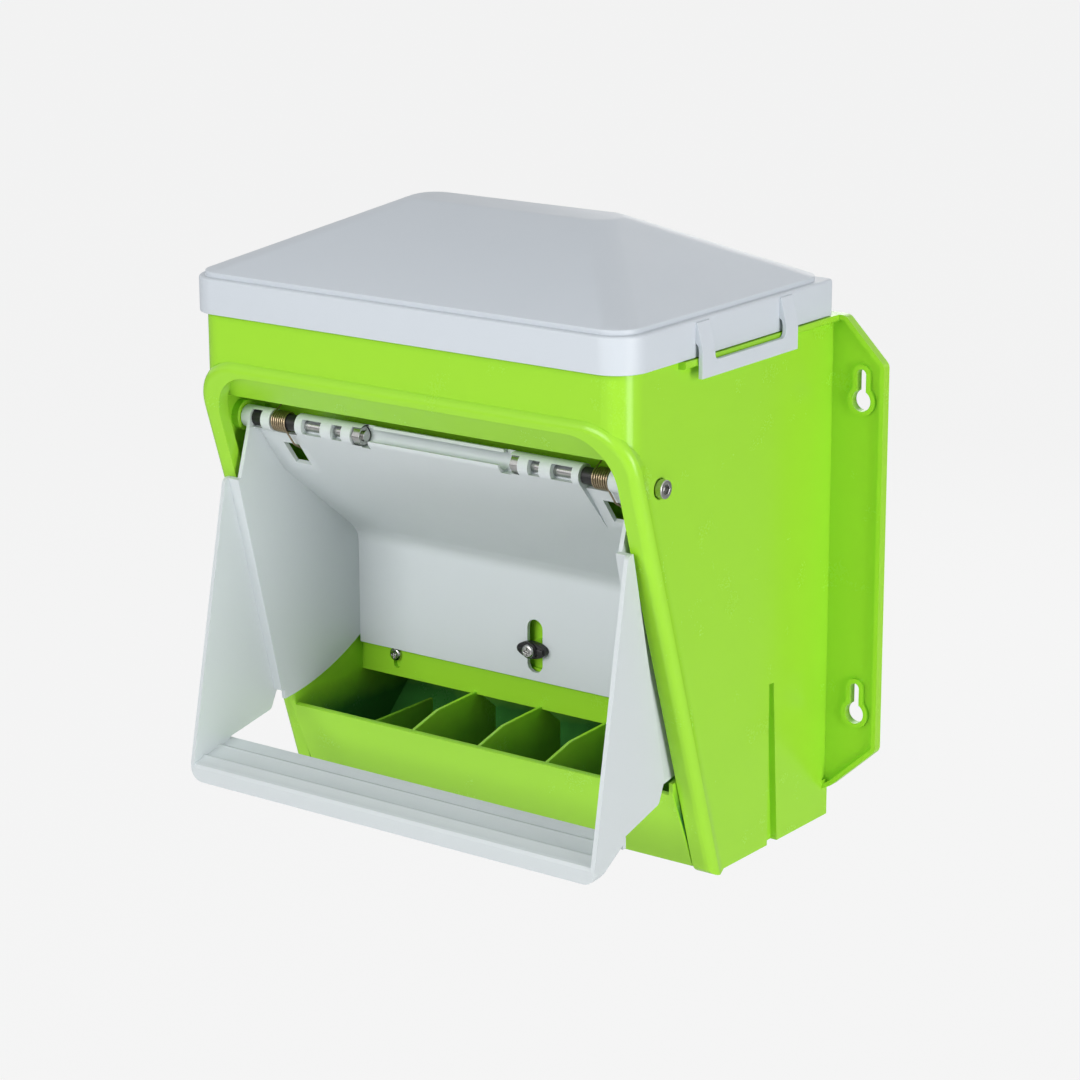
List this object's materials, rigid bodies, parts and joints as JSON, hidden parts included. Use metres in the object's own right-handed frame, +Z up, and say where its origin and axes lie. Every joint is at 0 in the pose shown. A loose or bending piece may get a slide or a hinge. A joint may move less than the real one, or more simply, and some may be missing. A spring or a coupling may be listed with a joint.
{
  "type": "poultry feeder",
  "caption": "Wall-mounted feeder for hens: a hopper with a hipped lid over a trough, and a sprung flap with wings and a perch that birds step on.",
  "frame": {"origin": "centre of the four keyholes, on the back face", "axes": "+X to the right seen from the front, +Y into the wall, +Z up; the front looks towards -Y"},
  "size_m": [0.349, 0.2176, 0.343],
  "materials": {
    "green_plastic": "lime green moulded plastic, satin",
    "pale_plastic": "pale grey moulded plastic, satin",
    "lid_plastic": "light grey moulded plastic, satin",
    "black_plastic": "black moulded plastic",
    "steel": "bright steel",
    "bronze_wire": "bronze-coloured spring wire"
  },
  "bodies": {
    "housing": {"housing": "green_plastic", "hopper_chute": "green_plastic", "trough": "green_plastic", "trough_dividers": "green_plastic", "trough_screws": "steel", "lock_screw": "steel", "lock_washer": "steel", "hinge_screw_left": "steel", "hinge_screw_right": "steel", "hinge_nut_left": "steel", "hinge_nut_right": "steel", "hinge_bush_left": "black_plastic", "hinge_bush_right": "black_plastic"},
    "flap": {"flap": "pale_plastic", "sealing_strip": "pale_plastic", "torsion_spring_left": "bronze_wire", "torsion_spring_right": "bronze_wire"},
    "lid": {"lid": "lid_plastic"},
    "latch_left": {"lid_latch_left": "lid_plastic"},
    "latch_right": {"lid_latch_right": "lid_plastic"},
    "lock": {"lock_knob": "black_plastic"}
  },
  "joints": [
    {"name": "flap_hinge", "type": "hinge", "parent": "housing", "child": "flap", "pos_m": [0, -0.1664, 0.0711], "axis": [-1, 0, 0], "range_deg": [0, 20.5], "deforming": ["torsion_spring_left", "torsion_spring_right"]},
    {"name": "lid_lift", "type": "slide", "parent": "housing", "child": "lid", "axis": [0, 0, 1], "range_m": [0, 0.06]},
    {"name": "latch_flex_left", "type": "hinge", "parent": "lid", "child": "latch_left", "pos_m": [-0.1445, -0.09625, 0.153], "axis": [0, 1, 0], "range_deg": [0, 8], "stiffness_Nm_per_rad": 0.6},
    {"name": "latch_flex_right", "type": "hinge", "parent": "lid", "child": "latch_right", "pos_m": [0.1445, -0.09625, 0.153], "axis": [0, -1, 0], "range_deg": [0, 8], "stiffness_Nm_per_rad": 0.6},
    {"name": "lock_turn", "type": "hinge", "parent": "housing", "child": "lock", "pos_m": [0, -0.0855, -0.0604], "axis": [0, 1, 0], "range_deg": [0, 90]}
  ]
}
